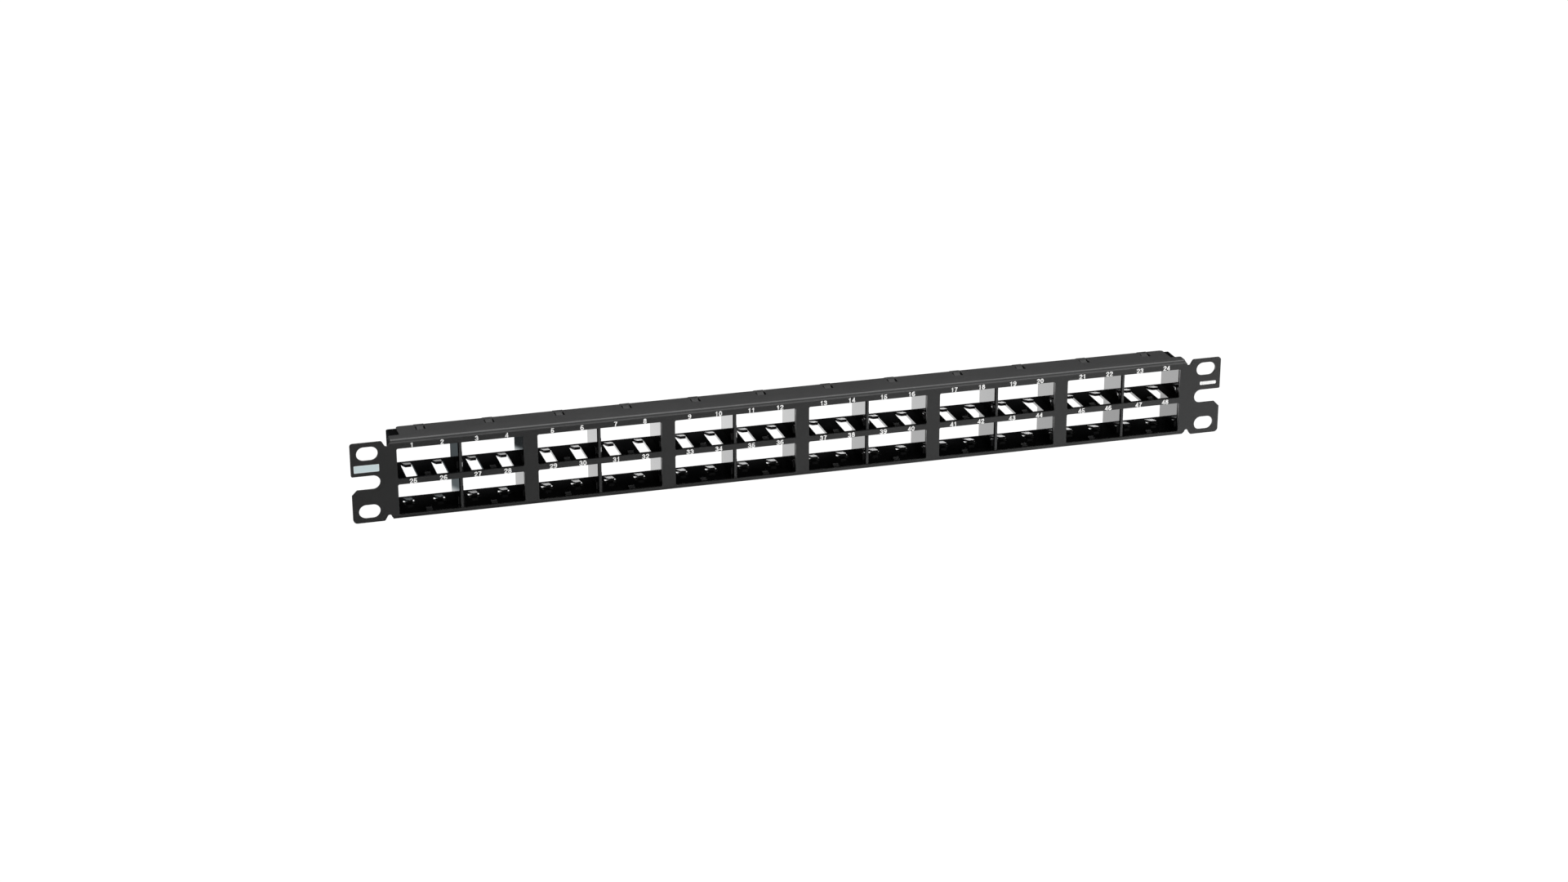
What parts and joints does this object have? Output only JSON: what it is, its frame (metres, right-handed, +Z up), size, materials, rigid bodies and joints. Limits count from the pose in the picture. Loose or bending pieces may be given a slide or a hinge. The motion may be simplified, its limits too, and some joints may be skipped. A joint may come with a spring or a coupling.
{
  "type": "rack patch panel",
  "caption": "Flat one-unit rack patch panel: a folded steel front with rack ears, holding clip-in moulded holders for two rows of snap-in jack modules.",
  "frame": {"origin": "centre of the mounting plane: the rear face of the two rack ears, midway between the four mounting slots", "axes": "+X across the rack to the right as seen from the front, +Y to the rear of the rack, +Z up"},
  "size_m": [0.4826, 0.0259, 0.0436],
  "materials": {
    "powder_coat": "fine-texture satin black powder coat on folded steel sheet",
    "holder_abs": "polished black moulded plastic",
    "label_film": "blank pale blue-grey adhesive label"
  },
  "bodies": {
    "panel": {"frame": "powder_coat", "ear_label": "label_film"},
    "module_holder_1": {"module_holder_1": "holder_abs"},
    "module_holder_2": {"module_holder_2": "holder_abs"},
    "module_holder_3": {"module_holder_3": "holder_abs"},
    "module_holder_4": {"module_holder_4": "holder_abs"},
    "module_holder_5": {"module_holder_5": "holder_abs"},
    "module_holder_6": {"module_holder_6": "holder_abs"}
  },
  "joints": [
    {"name": "module_holder_1_slide", "type": "slide", "parent": "panel", "child": "module_holder_1", "axis": [0, 1, 0], "range_m": [0, 0.0185]},
    {"name": "module_holder_2_slide", "type": "slide", "parent": "panel", "child": "module_holder_2", "axis": [0, 1, 0], "range_m": [0, 0.0185]},
    {"name": "module_holder_3_slide", "type": "slide", "parent": "panel", "child": "module_holder_3", "axis": [0, 1, 0], "range_m": [0, 0.0185]},
    {"name": "module_holder_4_slide", "type": "slide", "parent": "panel", "child": "module_holder_4", "axis": [0, 1, 0], "range_m": [0, 0.0185]},
    {"name": "module_holder_5_slide", "type": "slide", "parent": "panel", "child": "module_holder_5", "axis": [0, 1, 0], "range_m": [0, 0.0185]},
    {"name": "module_holder_6_slide", "type": "slide", "parent": "panel", "child": "module_holder_6", "axis": [0, 1, 0], "range_m": [0, 0.0185]}
  ]
}
